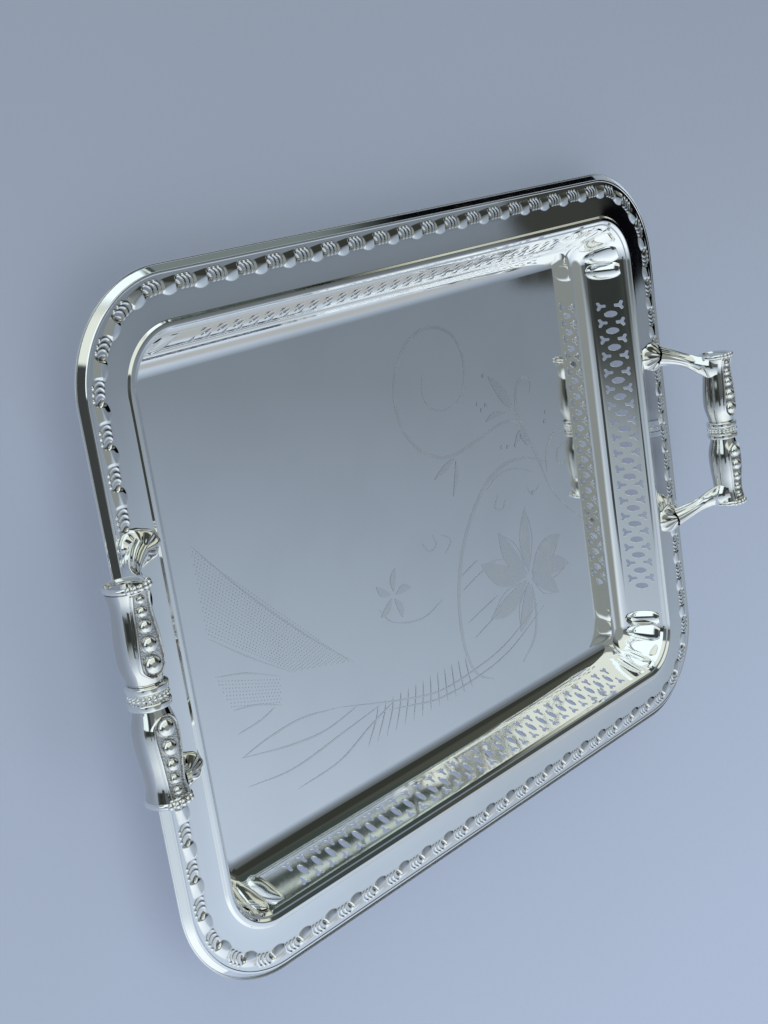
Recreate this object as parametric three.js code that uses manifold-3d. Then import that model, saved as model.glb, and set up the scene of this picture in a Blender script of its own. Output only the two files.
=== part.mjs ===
// Two-handled gallery tray with a pierced wall, an embossed border and cast baluster handles.
// Millimetres, +Z up. The tray stands on the flat underside of its well, at z = 0, and is
// centred on the Z axis. X runs from handle to handle, Y across the tray.

import * as THREE from 'three';
import { mergeGeometries, mergeVertices } from 'three/addons/utils/BufferGeometryUtils.js';
import Module from 'manifold-3d';

const wasm = await Module();
wasm.setup();

// ---------------------------------------------------------------- driving dimensions

const HALF_LENGTH = 205; // centre to the crease where the rim turns down, along X
const HALF_WIDTH = 159.3; // the same across the tray, along Y
const CORNER_RADIUS = 48; // of that crease, seen from above
const SHEET = 1.0; // thickness of the pressed sheet
const RIM_TOP = 28; // upper face of the flat rim above the table

// Pressed section, from the outer edge inwards: [distance in from the crease, height from RIM_TOP].
const SKIRT_EDGE = [-2.9, -3.0];
const BAND = { outer: 3.6, inner: 11.0, rise: 0.7, shoulder: 0.6 }; // the raised border band
const BEAD = { outer: 19.6, inner: 23.8, rise: 1.3 }; // the round bead beside the well
const LEDGE = [24.9, -1.3];
const WALL_TOP = [26.4, -2.3];
const WALL_FOOT = [34.2, -20.4];
const COVE = [[36.9, -24.6], [42.5, SHEET - RIM_TOP]]; // inside curve down to the well floor

const CORNER_FLUTES = 3; // convex ribs pressed into each corner of the wall
const FLUTE_RISE = 1.6;
const STEPS_PER_FLUTE = 3;

// Piercing: a row of upright ovals with three-cornered holes between them, above and below.
const LONG_WALL_OVALS = 28;
const SHORT_WALL_OVALS = 18;
const LONG_WALL_PITCH = 9.55;
const SHORT_WALL_PITCH = 9.84;
const SHORT_WALL_SHIFT = -2.2; // the short walls' rows are stamped this far off centre, along Y
const OVAL = { halfWidth: 1.65, halfHeight: 3.75, segments: 3 };
const TREFOIL = { base: 7.4, point: 2.6, halfBase: 2.0 }; // heights from the row's centre line
const CUTTER_LENGTH = 8;

// Handles. The grip's axis runs along Y, outside and above the rim.
const GRIP_X = 222.3;
const GRIP_Z = RIM_TOP + 26;
const GRIP_SIDES = 12;
const COLLAR_HALF = 5.2; // half the collar's length along the grip
const CAP_START = 43.4;
const CAP_END = 46.4;
const CAP_RADIUS = 10.4;
const HANDLE_SHIFT = 1.8; // both handles are fixed this far to the +Y side of the middle
const END_GAP = 0.1; // between pieces that butt together along the grip
const FIT_GAP = 0.3; // round a piece that passes through, or is shaped to, another
const PANEL_FLOOR = 7.7; // height of each grip's flat upper panel above the grip's axis
const PANEL_BEADS = [[12.9, 3.2], [20.7, 2.8], [28.7, 2.3], [35.3, 1.8], [40.6, 1.5]]; // [place, radius]
const ROD_RADIUS = 2.0;
const ROD_END = CAP_START + 1.4;

const FOOT = { x: 193.7, y: 49.8, halfLength: 8.0, halfWidth: 5.8, height: 6.4 };
const FOOT_LOBES = 3;
const SCREW_X = 191; // the screws stand nearer to the well than the middle of each foot
const SCREW = { radius: 2.0, headRadius: 3.8, headHeight: 2.4, reach: 3.6, slot: 1.0 };
const SCREW_SIDES = 12;
const WASHER = { radius: 5.2, thickness: 0.8 };

// ---------------------------------------------------------------- materials

const silver = new THREE.MeshStandardMaterial({ color: 0xc9ced3, roughness: 0.12, metalness: 1 });
const castSilver = new THREE.MeshStandardMaterial({ color: 0xc4c7c6, roughness: 0.2, metalness: 1 });
const nickel = new THREE.MeshStandardMaterial({ color: 0xa9a79f, roughness: 0.35, metalness: 1 });

// ---------------------------------------------------------------- solids

function toManifold(geometry) {
  const bare = geometry.clone();
  bare.deleteAttribute('normal');
  bare.deleteAttribute('uv');
  const merged = mergeVertices(bare, 1e-4);
  return new wasm.Manifold(new wasm.Mesh({
    numProp: 3,
    vertProperties: new Float32Array(merged.attributes.position.array),
    triVerts: new Uint32Array(merged.index.array),
  }));
}

function fromManifold(solid) {
  const mesh = solid.getMesh();
  const geometry = new THREE.BufferGeometry();
  geometry.setAttribute('position', new THREE.BufferAttribute(mesh.vertProperties, 3));
  geometry.setIndex(new THREE.BufferAttribute(mesh.triVerts, 1));
  geometry.computeVertexNormals();
  return geometry;
}

// Joins rings of equal point count into a closed skin; each end is closed by a fan to its middle.
function loft(rings) {
  const count = rings[0].length;
  const positions = [];
  const index = [];
  rings.forEach((ring) => ring.forEach((p) => positions.push(p.x, p.y, p.z)));
  for (let r = 0; r + 1 < rings.length; r += 1) {
    for (let i = 0; i < count; i += 1) {
      const a = r * count + i;
      const b = r * count + ((i + 1) % count);
      index.push(a, b, a + count);
      index.push(b, b + count, a + count);
    }
  }
  [0, rings.length - 1].forEach((r) => {
    const middle = new THREE.Vector3();
    rings[r].forEach((p) => middle.add(p));
    middle.divideScalar(count);
    const centre = positions.length / 3;
    positions.push(middle.x, middle.y, middle.z);
    for (let i = 0; i < count; i += 1) {
      const a = r * count + i;
      const b = r * count + ((i + 1) % count);
      if (r === 0) {
        index.push(centre, b, a);
      } else {
        index.push(centre, a, b);
      }
    }
  });
  const geometry = new THREE.BufferGeometry();
  geometry.setAttribute('position', new THREE.Float32BufferAttribute(positions, 3));
  geometry.setIndex(index);
  return geometry;
}

// A piece turned about the Y axis from [radius, y] points that start and end on the axis.
function turned(points, sides = GRIP_SIDES) {
  return new THREE.LatheGeometry(points.map(([r, y]) => new THREE.Vector2(r, y)), sides);
}

function rod(radius, from, to, sides = 12) {
  return turned([[0, from], [radius, from], [radius, to], [0, to]], sides);
}

function upright(geometry) {
  return geometry.rotateX(Math.PI / 2);
}

// ---------------------------------------------------------------- tray body

// Closed outline of the tray, a given distance in from the crease; fluting pushes the wall inwards.
function outlineRing(inset, z, fluting) {
  const steps = CORNER_FLUTES * STEPS_PER_FLUTE;
  const corners = [[1, 1, 0], [-1, 1, 90], [-1, -1, 180], [1, -1, 270]];
  const ring = [];
  corners.forEach(([sx, sy, start]) => {
    const cx = sx * (HALF_LENGTH - CORNER_RADIUS);
    const cy = sy * (HALF_WIDTH - CORNER_RADIUS);
    for (let i = 0; i <= steps; i += 1) {
      const angle = THREE.MathUtils.degToRad(start + (90 * i) / steps);
      const rib = i % STEPS_PER_FLUTE === 0 ? 0 : FLUTE_RISE * fluting;
      const radius = CORNER_RADIUS - inset - rib;
      ring.push(new THREE.Vector3(cx + radius * Math.cos(angle), cy + radius * Math.sin(angle), z));
    }
  });
  return ring;
}

// The upper face of the pressed sheet in section: [inset, height, how far the flutes show].
function upperSection() {
  return [
    [SKIRT_EDGE[0], SKIRT_EDGE[1], 0],
    [-0.4, -0.5, 0],
    [0.7, 0, 0],
    [BAND.outer, 0, 0],
    [BAND.outer + BAND.shoulder, BAND.rise, 0],
    [BAND.inner - BAND.shoulder, BAND.rise, 0],
    [BAND.inner, 0, 0],
    [BEAD.outer, 0, 0],
    [BEAD.outer + 1.0, BEAD.rise, 0],
    [BEAD.inner - 1.0, BEAD.rise, 0],
    [LEDGE[0], LEDGE[1], 0],
    [WALL_TOP[0], WALL_TOP[1], 0],
    [WALL_TOP[0] + 1.5, WALL_TOP[1] - 3.4, 1],
    [WALL_FOOT[0], WALL_FOOT[1], 1],
    [COVE[0][0], COVE[0][1], 0],
    [COVE[1][0], COVE[1][1], 0],
  ];
}

// The lower face: each point of the upper one moved by the sheet's thickness along the mean normal.
function lowerSection(upper) {
  return upper.map(([inset, height, fluting], i) => {
    const before = upper[Math.max(i - 1, 0)];
    const after = upper[i + 1] ?? [inset + 1, height];
    const first = new THREE.Vector2(inset - before[0], height - before[1]).normalize();
    const second = new THREE.Vector2(after[0] - inset, after[1] - height).normalize();
    const along = i === 0 ? second : first.clone().add(second).normalize();
    const mitre = SHEET / along.dot(second);
    return [inset + along.y * mitre, height - along.x * mitre, fluting];
  });
}

// Rings run from the floor's underside outwards, over the skirt's edge and back in along the top.
function pressedSheet() {
  const upper = upperSection();
  const lower = lowerSection(upper).reverse();
  const section = [...lower, ...upper];
  return loft(section.map(([inset, height, fluting]) => outlineRing(inset, RIM_TOP + height, fluting)));
}

function ovalHole() {
  const shape = new THREE.Shape();
  shape.absellipse(0, 0, OVAL.halfWidth, OVAL.halfHeight, 0, 2 * Math.PI);
  return shape;
}

// A three-cornered hole with two corners along its base and one pointing to the row's centre line.
function trefoilHole(side) {
  const shape = new THREE.Shape();
  shape.moveTo(-TREFOIL.halfBase, side * TREFOIL.base);
  shape.lineTo(0, side * TREFOIL.point);
  shape.lineTo(TREFOIL.halfBase, side * TREFOIL.base);
  return shape;
}

// Cutters for one wall, square to its slope. outward is the wall's outward direction, seen from above.
// shift moves the row along Y, and its -Y end then finishes on an oval instead of a trefoil pair.
function wallCutters(outward, distance, ovals, pitch, shift) {
  const slope = new THREE.Vector2(WALL_FOOT[0] - WALL_TOP[0], WALL_FOOT[1] - WALL_TOP[1]).normalize();
  const middleInset = (WALL_TOP[0] + WALL_FOOT[0]) / 2;
  const middleHeight = (WALL_TOP[1] + WALL_FOOT[1]) / 2;
  const up = new THREE.Vector3(0, 0, -slope.y).addScaledVector(outward, slope.x);
  const along = new THREE.Vector3(-outward.y, outward.x, 0);
  const normal = new THREE.Vector3().crossVectors(along, up);
  const frame = new THREE.Matrix4().makeBasis(along, up, normal);
  const middle = outward.clone().multiplyScalar(distance - middleInset);
  middle.z = RIM_TOP + middleHeight;
  const settings = { depth: CUTTER_LENGTH, bevelEnabled: false, curveSegments: OVAL.segments };
  const place = (shape, offset) => {
    const cutter = new THREE.ExtrudeGeometry(shape, settings).translate(0, 0, -CUTTER_LENGTH / 2);
    const spot = middle.clone().addScaledVector(along, offset);
    return cutter.applyMatrix4(frame).translate(spot.x, spot.y, spot.z);
  };
  const cutters = [];
  for (let i = 0; i <= ovals; i += 1) {
    const offset = (i - ovals / 2) * pitch + shift * along.y;
    if (i < ovals) cutters.push(place(ovalHole(), offset + pitch / 2));
    if (shift && offset * along.y < (-ovals / 2 + 0.5) * pitch) continue;
    cutters.push(place(trefoilHole(1), offset));
    cutters.push(place(trefoilHole(-1), offset));
  }
  return cutters;
}

function piercing() {
  const cutters = [1, -1].flatMap((side) => [
    ...wallCutters(
      new THREE.Vector3(side, 0, 0), HALF_LENGTH, SHORT_WALL_OVALS, SHORT_WALL_PITCH, SHORT_WALL_SHIFT,
    ),
    ...wallCutters(new THREE.Vector3(0, side, 0), HALF_WIDTH, LONG_WALL_OVALS, LONG_WALL_PITCH, 0),
  ]);
  return toManifold(mergeGeometries(cutters));
}

function screwHoles() {
  const holes = [];
  [1, -1].forEach((sx) => [1, -1].forEach((sy) => {
    const hole = upright(rod(SCREW.radius + FIT_GAP, -2 * SHEET, 2 * SHEET));
    holes.push(hole.translate(sx * SCREW_X, sy * FOOT.y + HANDLE_SHIFT, RIM_TOP));
  }));
  return toManifold(mergeGeometries(holes));
}

function trayBody() {
  return fromManifold(toManifold(pressedSheet()).subtract(piercing()).subtract(screwHoles()));
}

// ---------------------------------------------------------------- handle pieces, for the +X handle

// Outer form of a grip half, from the collar to the cap; extra thickens it to make a clearance.
function gripForm(extra) {
  const start = COLLAR_HALF + END_GAP;
  const end = CAP_START - END_GAP;
  return [
    [8.0, start], [8.5, 7.4], [9.7, 12.5], [10.0, 17.5], [9.5, 24.5], [8.5, 32.5], [8.3, 38.0], [9.2, end],
  ].map(([radius, y]) => [radius + extra, y]);
}

function gripHalf() {
  const form = gripForm(0);
  const start = form[0][1];
  const end = form[form.length - 1][1];
  const bore = ROD_RADIUS + FIT_GAP;
  const body = toManifold(turned([[bore, start], ...form, [bore, end], [bore, start]]));
  const shave = new THREE.BoxGeometry(30, end - start - 3, 10);
  shave.translate(0, (start + end) / 2, PANEL_FLOOR + 5);
  const beads = PANEL_BEADS.map(([y, radius]) => (
    toManifold(new THREE.SphereGeometry(radius, 8, 6).rotateX(Math.PI / 2).translate(0, y, PANEL_FLOOR))));
  return fromManifold(beads.reduce((solid, bead) => solid.add(bead), body.subtract(toManifold(shave))));
}

function collar() {
  const bore = ROD_RADIUS + FIT_GAP;
  return turned([
    [bore, -COLLAR_HALF], [8.4, -COLLAR_HALF], [9.5, -4.2], [9.3, -2.6], [8.3, -2.2], [9.0, 0],
    [8.3, 2.2], [9.3, 2.6], [9.5, 4.2], [8.4, COLLAR_HALF], [bore, COLLAR_HALF], [bore, -COLLAR_HALF],
  ]);
}

function endCap() {
  const bore = ROD_RADIUS + FIT_GAP;
  const boreEnd = ROD_END + FIT_GAP;
  return turned([
    [0, boreEnd], [bore, boreEnd], [bore, CAP_START], [9.4, CAP_START], [CAP_RADIUS, CAP_START + 0.7],
    [CAP_RADIUS, CAP_END - 1.0], [8.6, CAP_END - 0.3], [3.0, CAP_END], [0, CAP_END],
  ]);
}

function tieRod() {
  return rod(ROD_RADIUS, -ROD_END, ROD_END);
}

// Arm centre line from the foot on the rim up to the inner side of the grip, with [width, depth] of
// its oval section at each point.
const ARM_LINE = [
  { at: [196.5, 49.6, RIM_TOP + 3.0], size: [4.6, 2.6] },
  { at: [202.6, 47.7, RIM_TOP + 7.2], size: [3.4, 2.5] },
  { at: [207.8, 45.4, RIM_TOP + 11.2], size: [2.8, 2.4] },
  { at: [212.4, 43.0, RIM_TOP + 15.2], size: [3.4, 2.5] },
  { at: [216.7, 40.2, RIM_TOP + 19.4], size: [5.0, 2.6] },
  { at: [219.6, 38.4, RIM_TOP + 22.0], size: [6.2, 2.4] },
];
const ARM_SIDES = 10;
const ARM_STEPS = 7;

function armStem() {
  const curve = new THREE.CatmullRomCurve3(ARM_LINE.map(({ at }) => new THREE.Vector3(...at)));
  const sizes = new THREE.SplineCurve(ARM_LINE.map(({ size }) => new THREE.Vector2(...size)));
  const rings = [];
  for (let i = 0; i <= ARM_STEPS; i += 1) {
    const t = i / ARM_STEPS;
    const centre = curve.getPoint(t);
    const tangent = curve.getTangent(t);
    const across = new THREE.Vector3(0, 1, 0).addScaledVector(tangent, -tangent.y).normalize();
    const depthways = new THREE.Vector3().crossVectors(tangent, across);
    const size = sizes.getPoint(t);
    const ring = [];
    for (let k = 0; k < ARM_SIDES; k += 1) {
      const angle = (2 * Math.PI * k) / ARM_SIDES;
      const point = centre.clone().addScaledVector(across, size.x * Math.cos(angle));
      ring.push(point.addScaledVector(depthways, size.y * Math.sin(angle)));
    }
    rings.push(ring);
  }
  return toManifold(loft(rings));
}

// Fluted shell-shaped foot: rounded lobes side by side, the outer ones a little shorter.
function armFoot() {
  const lobes = [];
  for (let i = 0; i < FOOT_LOBES; i += 1) {
    const side = i - (FOOT_LOBES - 1) / 2;
    const lobe = new THREE.SphereGeometry(1, 10, 8);
    lobe.scale(FOOT.halfLength - Math.abs(side), FOOT.halfWidth / 2, FOOT.height);
    lobe.translate(FOOT.x, FOOT.y + (side * FOOT.halfWidth) / 2, RIM_TOP);
    lobes.push(toManifold(lobe));
  }
  return lobes.reduce((foot, lobe) => foot.add(lobe));
}

// What the arm must keep clear of: the rim, its border band, the screw, the grip and the end cap.
function armClearances() {
  const block = 60;
  const rim = new THREE.BoxGeometry(block, block, block);
  rim.translate(FOOT.x, FOOT.y, RIM_TOP - block / 2);
  const band = new THREE.BoxGeometry(block, block, 2 * (BAND.rise + FIT_GAP));
  band.translate(HALF_LENGTH - BAND.inner - FIT_GAP + block / 2, FOOT.y, RIM_TOP);
  const thread = upright(rod(SCREW.radius + FIT_GAP, -SHEET, SCREW.reach + FIT_GAP));
  thread.translate(SCREW_X, FOOT.y, RIM_TOP);
  const grip = turned([[0, COLLAR_HALF], ...gripForm(FIT_GAP), [0, CAP_START]]);
  grip.translate(GRIP_X, 0, GRIP_Z);
  const cap = rod(CAP_RADIUS + FIT_GAP, CAP_START - FIT_GAP, CAP_END + FIT_GAP, GRIP_SIDES);
  cap.translate(GRIP_X, 0, GRIP_Z);
  return [rim, band, thread, grip, cap].map(toManifold);
}

function arm() {
  const whole = armStem().add(armFoot());
  return fromManifold(armClearances().reduce((solid, cut) => solid.subtract(cut), whole));
}

function screw() {
  const seat = RIM_TOP - SHEET - WASHER.thickness;
  const bottom = seat - SCREW.headHeight;
  const body = toManifold(upright(turned([
    [0, bottom], [SCREW.headRadius - 0.8, bottom], [SCREW.headRadius, bottom + 0.9],
    [SCREW.headRadius, seat], [SCREW.radius, seat], [SCREW.radius, RIM_TOP + SCREW.reach],
    [0, RIM_TOP + SCREW.reach],
  ], SCREW_SIDES)));
  const slot = new THREE.BoxGeometry(3 * SCREW.headRadius, SCREW.slot, 2 * SCREW.slot);
  slot.translate(0, 0, bottom);
  return fromManifold(body.subtract(toManifold(slot))).translate(SCREW_X, FOOT.y, 0);
}

function washer() {
  const top = RIM_TOP - SHEET;
  const hole = SCREW.radius + FIT_GAP;
  const ring = turned([
    [hole, top - WASHER.thickness], [WASHER.radius, top - WASHER.thickness],
    [WASHER.radius, top], [hole, top], [hole, top - WASHER.thickness],
  ], SCREW_SIDES);
  return upright(ring).translate(SCREW_X, FOOT.y, 0);
}

// ---------------------------------------------------------------- assembly

function named(name, geometry, material) {
  const mesh = new THREE.Mesh(geometry, material);
  mesh.name = name;
  return mesh;
}

// One handle, built at +X; turned half round for the other end of the tray.
function handle(end) {
  const group = new THREE.Group();
  group.rotation.z = end > 0 ? 0 : Math.PI;
  group.position.y = HANDLE_SHIFT;
  const side = end > 0 ? 'right' : 'left';
  const axis = new THREE.Group();
  axis.position.set(GRIP_X, 0, GRIP_Z);
  axis.add(named(`${side}_collar`, collar(), castSilver));
  axis.add(named(`${side}_tie_rod`, tieRod(), nickel));
  [1, -1].forEach((half) => {
    const place = half * end > 0 ? 'rear' : 'front';
    const turn = half > 0 ? 0 : Math.PI;
    const grip = named(`${side}_grip_${place}`, gripHalf(), castSilver);
    const cap = named(`${side}_cap_${place}`, endCap(), castSilver);
    [grip, cap].forEach((piece) => {
      piece.rotation.z = turn;
      axis.add(piece);
    });
    const bracket = named(`${side}_arm_${place}`, arm(), castSilver);
    const fixing = named(`${side}_screw_${place}`, screw(), nickel);
    const ring = named(`${side}_washer_${place}`, washer(), nickel);
    [bracket, fixing, ring].forEach((piece) => {
      piece.scale.y = half;
      group.add(piece);
    });
  });
  group.add(axis);
  return group;
}

const tray = new THREE.Group();
tray.add(named('tray_body', trayBody(), silver));
tray.add(handle(1));
tray.add(handle(-1));

export default tray;
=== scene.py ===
"""Looks of a two-handled silver gallery tray, on a pale studio floor.

Shapes are worked out in millimetres, in the frame of the CAD part: X from handle to handle, Y across
the tray, Z up from the underside of the well. A mesh is scaled to metres when it is made.
"""

import math

import bpy
import numpy as np
from mathutils import Matrix, Vector
from mathutils.geometry import delaunay_2d_cdt


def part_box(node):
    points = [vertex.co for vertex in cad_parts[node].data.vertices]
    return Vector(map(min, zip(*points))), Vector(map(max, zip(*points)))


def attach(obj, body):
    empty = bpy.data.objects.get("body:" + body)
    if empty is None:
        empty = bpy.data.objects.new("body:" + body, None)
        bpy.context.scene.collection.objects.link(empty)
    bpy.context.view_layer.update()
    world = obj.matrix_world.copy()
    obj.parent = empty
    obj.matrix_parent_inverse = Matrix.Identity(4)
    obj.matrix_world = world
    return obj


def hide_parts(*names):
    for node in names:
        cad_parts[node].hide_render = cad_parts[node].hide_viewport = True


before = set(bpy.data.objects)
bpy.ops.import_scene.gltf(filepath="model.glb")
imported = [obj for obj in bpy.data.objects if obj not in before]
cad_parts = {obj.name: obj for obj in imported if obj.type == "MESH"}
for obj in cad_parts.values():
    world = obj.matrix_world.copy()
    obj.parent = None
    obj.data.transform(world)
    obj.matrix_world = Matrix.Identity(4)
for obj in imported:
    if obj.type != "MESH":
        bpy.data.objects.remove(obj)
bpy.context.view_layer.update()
MM = 0.001

# ------------------------------------------------------------------ sizes taken from the CAD part

body_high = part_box("tray_body")[1] / MM
collar_low, collar_high = [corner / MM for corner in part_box("right_collar")]
cap_low, cap_high = [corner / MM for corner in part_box("right_cap_rear")]

SKIRT_OUT = 2.9  # the rim's outer edge beyond the crease
SKIRT_DOWN = 3.0
BEAD_RISE = 1.3
SHEET = 1.0
HALF_LENGTH = body_high.x - SKIRT_OUT  # centre to crease
HALF_WIDTH = body_high.y - SKIRT_OUT
RIM_TOP = body_high.z - BEAD_RISE
CORNER_RADIUS = 48.0
FLOOR_DEPTH = RIM_TOP - SHEET
GRIP_X = (collar_low.x + collar_high.x) / 2
GRIP_Z = (collar_low.z + collar_high.z) / 2
COLLAR_HALF = (collar_high.y - collar_low.y) / 2
HANDLE_SHIFT = (collar_high.y + collar_low.y) / 2  # the handles sit slightly to one side of the middle
CAP_START = cap_low.y - HANDLE_SHIFT
CAP_END = cap_high.y - HANDLE_SHIFT

# ------------------------------------------------------------------ camera

CAMERA_AIM = Vector((-49.0, 25.5, RIM_TOP)) * MM
CAMERA_DISTANCE = 0.7159
CAMERA_AZIMUTH = math.radians(161.24)
CAMERA_ELEVATION = math.radians(42.89)
CAMERA_ROLL = math.radians(-94.18)
CAMERA_LENS = 52.13


def make_camera():
    back = Vector((
        math.cos(CAMERA_AZIMUTH) * math.cos(CAMERA_ELEVATION),
        math.sin(CAMERA_AZIMUTH) * math.cos(CAMERA_ELEVATION),
        math.sin(CAMERA_ELEVATION),
    ))
    level_right = Vector((0, 0, 1)).cross(back).normalized()
    level_up = back.cross(level_right)
    up = level_up * math.cos(CAMERA_ROLL) + level_right * math.sin(CAMERA_ROLL)
    right = up.cross(back)
    data = bpy.data.cameras.new("camera")
    data.lens = CAMERA_LENS
    data.sensor_width = 36.0
    data.clip_start = 0.01
    camera = bpy.data.objects.new("camera", data)
    bpy.context.scene.collection.objects.link(camera)
    camera.matrix_world = Matrix.Translation(CAMERA_AIM + back * CAMERA_DISTANCE) @ Matrix(
        (right, up, back)
    ).transposed().to_4x4()
    bpy.context.scene.camera = camera


make_camera()

# ------------------------------------------------------------------ shader helpers


def put(tree, kind, inputs=None, **settings):
    """Adds a node. Its inputs are given by name or number, as values or as sockets to link."""
    made = tree.nodes.new("ShaderNode" + kind)
    for key, value in settings.items():
        setattr(made, key, value)
    for key, value in (inputs or {}).items():
        if isinstance(value, bpy.types.NodeSocket):
            tree.links.new(value, made.inputs[key])
        else:
            made.inputs[key].default_value = value
    return made


def calc(tree, operation, *values):
    return put(tree, "Math", dict(enumerate(values)), operation=operation).outputs[0]


def ramp(tree, value, low, high, start=0.0, end=1.0, smooth=True):
    """Maps value from low..high to start..end, held at both ends."""
    inputs = {"Value": value, "From Min": low, "From Max": high, "To Min": start, "To Max": end}
    kind = "SMOOTHSTEP" if smooth else "LINEAR"
    return put(tree, "MapRange", inputs, interpolation_type=kind).outputs[0]


def blend_colour(tree, share, first, second):
    """Mixes two colours, each a tuple or a socket."""
    made = put(tree, "Mix", data_type="RGBA")
    for index, value in ((0, share), (6, first), (7, second)):
        if isinstance(value, bpy.types.NodeSocket):
            tree.links.new(value, made.inputs[index])
        elif index == 0:
            made.inputs[index].default_value = value
        else:
            made.inputs[index].default_value = (*value, 1.0)
    return made.outputs[2]


# ------------------------------------------------------------------ world: a soft studio seen in the silver


def between(tree, value, low, high, soft):
    """1 inside low..high, fading to 0 over soft on both sides."""
    rising = ramp(tree, value, low - soft, low + soft)
    falling = ramp(tree, value, high - soft, high + soft, 1.0, 0.0)
    return calc(tree, "MULTIPLY", rising, falling)


def patch(tree, colour, azimuth, elevation, arc, height, tint, soft):
    """Paints tint over colour where azimuth is in arc and elevation is in height, in degrees."""
    across = between(tree, azimuth, arc[0], arc[1], soft[0])
    upward = between(tree, elevation, height[0], height[1], soft[1])
    return blend_colour(tree, calc(tree, "MULTIPLY", across, upward), colour, tint)


AZIMUTH_START = -150.0  # azimuths run from here round to 210 degrees
ROUND_COLOURS = [
    (-150.0, (0.60, 0.69, 0.77)), (-130.0, (0.95, 1.04, 1.08)), (-100.0, (0.92, 1.00, 1.05)),
    (-60.0, (0.72, 0.81, 0.90)), (-45.0, (0.56, 0.66, 0.79)), (-28.0, (0.37, 0.44, 0.53)),
    (-12.0, (0.205, 0.245, 0.293)),
    (-6.0, (0.185, 0.22, 0.262)), (100.0, (0.185, 0.22, 0.262)), (189.5, (0.10, 0.11, 0.11)),
    (192.5, (0.30, 0.35, 0.38)), (199.0, (0.42, 0.49, 0.57)), (210.0, (0.60, 0.69, 0.77)),
]
# The parts of the studio, painted in this order: arc and height in degrees, colour, softness of the edges.
STUDIO = [
    # The dark room beyond the tray, towards +X and +Y.
    ((-1, 64), (36, 90), (0.13, 0.145, 0.15), (5, 3)),
    ((-7.4, 64), (-90, 38), (0.040, 0.043, 0.039), (0.5, 0.4)),
    ((-7.4, 64), (-90, 34.4), (0.002, 0.002, 0.003), (0.5, 0.3)),
    ((12, 64), (12, 54), (0.034, 0.038, 0.032), (3, 3)),
    ((12, 64), (12, 36), (0.062, 0.068, 0.055), (3, 3)),
    ((46, 64), (-90, 30), (0.045, 0.060, 0.056), (1, 3)),
    ((8, 43), (4, 15), (0.66, 0.70, 0.58), (2.5, 1.5)),
    ((8, 32), (16, 28), (0.17, 0.185, 0.17), (3, 3)),
    # Strips of light low down in it.
    ((44, 64), (0.2, 4.4), (0.17, 0.21, 0.205), (2, 0.4)),
    ((44, 64), (6.2, 7.0), (0.80, 0.92, 0.88), (2, 0.4)),
    ((44, 64), (9.2, 10.6), (0.55, 0.64, 0.60), (2, 0.4)),
    # A tall window towards +Y, and the darker room behind the camera.
    ((62, 178), (-20, 24), (0.95, 1.10, 1.13), (3, 3)),
    ((62, 151), (24, 66), (0.77, 0.82, 0.75), (4, 4)),
    ((178, 189.4), (-90, 30), (0.030, 0.036, 0.034), (1.8, 1)),
    ((151, 199.5), (26.5, 38.5), (0.044, 0.050, 0.050), (2, 1)),
    ((176, 192), (-10, 7), (0.095, 0.103, 0.092), (2, 3)),
    # A low wall towards -Y, seen in the far gallery wall.
    ((-56, -31), (14, 33), (0.43, 0.45, 0.46), (7, 6)),
]
CEILING_START = 58.0  # elevation at which the ceiling begins to show
CEILING_FULL = 70.0
CEILING_COLOUR = (0.24, 0.265, 0.255)
BACKDROP_COLOUR = (0.40, 0.46, 0.57)  # what the camera sees behind the paper


def make_world():
    world = bpy.data.worlds.new("studio")
    bpy.context.scene.world = world
    world.use_nodes = True
    tree = world.node_tree
    tree.nodes.clear()
    direction = put(tree, "TexCoord").outputs["Generated"]
    axes = put(tree, "SeparateXYZ", {0: direction}).outputs
    heading = calc(tree, "MULTIPLY", calc(tree, "ARCTAN2", axes[1], axes[0]), 180 / math.pi)
    turned = calc(tree, "MULTIPLY", calc(tree, "LESS_THAN", heading, AZIMUTH_START), 360.0)
    azimuth = calc(tree, "ADD", heading, turned)
    elevation = calc(tree, "MULTIPLY", calc(tree, "ARCSINE", axes[2]), 180 / math.pi)
    # The soft walls all round, dark towards +X and +Y and brightest towards -Y.
    colour = ROUND_COLOURS[0][1]
    for (low, _), (high, tint) in zip(ROUND_COLOURS, ROUND_COLOURS[1:]):
        colour = blend_colour(tree, ramp(tree, azimuth, low, high, smooth=False), colour, tint)
    for arc, height, tint, soft in STUDIO:
        colour = patch(tree, colour, azimuth, elevation, arc, height, tint, soft)
    overhead = ramp(tree, elevation, CEILING_START, CEILING_FULL)
    colour = blend_colour(tree, overhead, colour, CEILING_COLOUR)
    seen = put(tree, "LightPath").outputs["Is Camera Ray"]
    colour = blend_colour(tree, seen, colour, BACKDROP_COLOUR)
    background = put(tree, "Background", {"Color": colour, "Strength": 1.0})
    output = put(tree, "OutputWorld")
    tree.links.new(background.outputs[0], output.inputs[0])


def make_light():
    """A broad soft lamp overhead for the paper; the silver mirrors the studio instead."""
    data = bpy.data.lights.new("overhead", "AREA")
    data.shape = "DISK"
    data.size = 2.6
    data.energy = 15.0
    data.color = (0.95, 0.97, 1.0)
    lamp = bpy.data.objects.new("overhead", data)
    lamp.location = (-0.3, -0.5, 2.4)
    lamp.rotation_euler = (-0.2, -0.1, 0.0)
    lamp.visible_glossy = False
    lamp.visible_camera = False
    bpy.context.scene.collection.objects.link(lamp)


make_world()
make_light()

# ------------------------------------------------------------------ materials


def new_material(name):
    material = bpy.data.materials.new(name)
    material.use_nodes = True
    material.node_tree.nodes.clear()
    return material, material.node_tree


TARNISH_AND_SHADE = (0.33, 0.315, 0.29)  # colour of the silver in recesses: tarnish, with painted shade


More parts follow.
